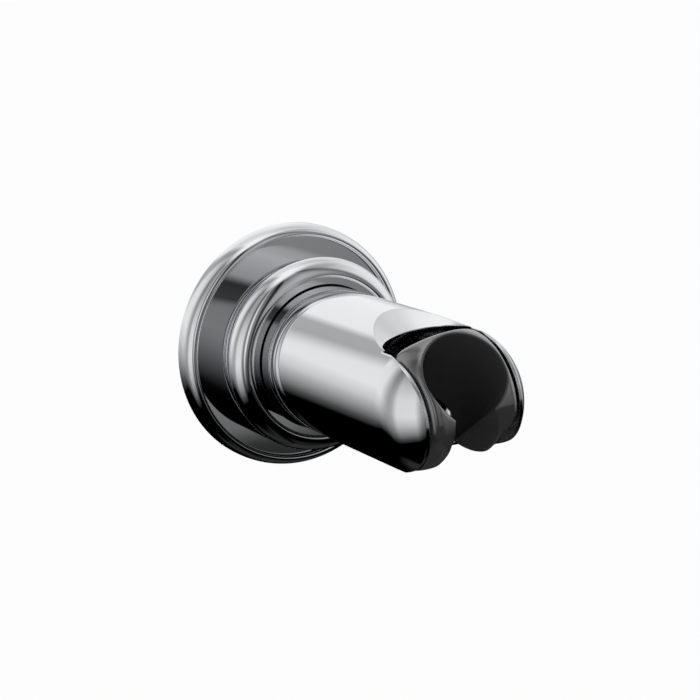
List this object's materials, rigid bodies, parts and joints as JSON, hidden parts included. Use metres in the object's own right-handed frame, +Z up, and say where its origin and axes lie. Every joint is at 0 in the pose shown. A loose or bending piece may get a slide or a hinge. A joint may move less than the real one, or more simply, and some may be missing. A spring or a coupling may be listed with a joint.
{
  "type": "hand shower holder",
  "caption": "Wall holder for a hand shower: stepped round rosette, swivelling bull-nosed chrome arm with a forked end, and a tilting black C-shaped cradle with a hose slot.",
  "frame": {"origin": "centre of the rosette's back face, on the wall plane and on the arm's axis", "axes": "+Z up, +X to the right as seen from the room, +Y into the wall; the arm stands out of the wall along -Y"},
  "size_m": [0.07, 0.0966, 0.07],
  "materials": {
    "chrome": "polished chrome plating",
    "cradle_black": "glossy moulded plastic",
    "brass": "turned",
    "steel": "bright",
    "spring_steel": "tempered",
    "zinc_plate": "zinc plated",
    "acetal": "machined",
    "gasket": "foam rubber",
    "seal": "smooth"
  },
  "bodies": {
    "base": {"wall_plate": "zinc_plate", "post_nut": "steel", "pivot_post": "brass", "rosette": "chrome", "rosette_gasket": "gasket", "rosette_set_screw": "steel", "web_washer": "steel", "disc_spring_inner": "spring_steel", "disc_spring_outer": "spring_steel", "swivel_bolt": "steel"},
    "arm": {"arm": "chrome", "arm_bush": "acetal", "arm_seal": "seal", "tilt_bush_left": "acetal", "tilt_bush_right": "acetal"},
    "cradle": {"cradle": "cradle_black"}
  },
  "joints": [
    {"name": "arm_swivel", "type": "hinge", "parent": "base", "child": "arm", "pos_m": [0, 0, 0], "axis": [0, -1, 0], "continuous": true},
    {"name": "cradle_tilt", "type": "hinge", "parent": "arm", "child": "cradle", "pos_m": [0, -0.081, 0], "axis": [1, 0, 0], "range_deg": [-40, 15]}
  ]
}
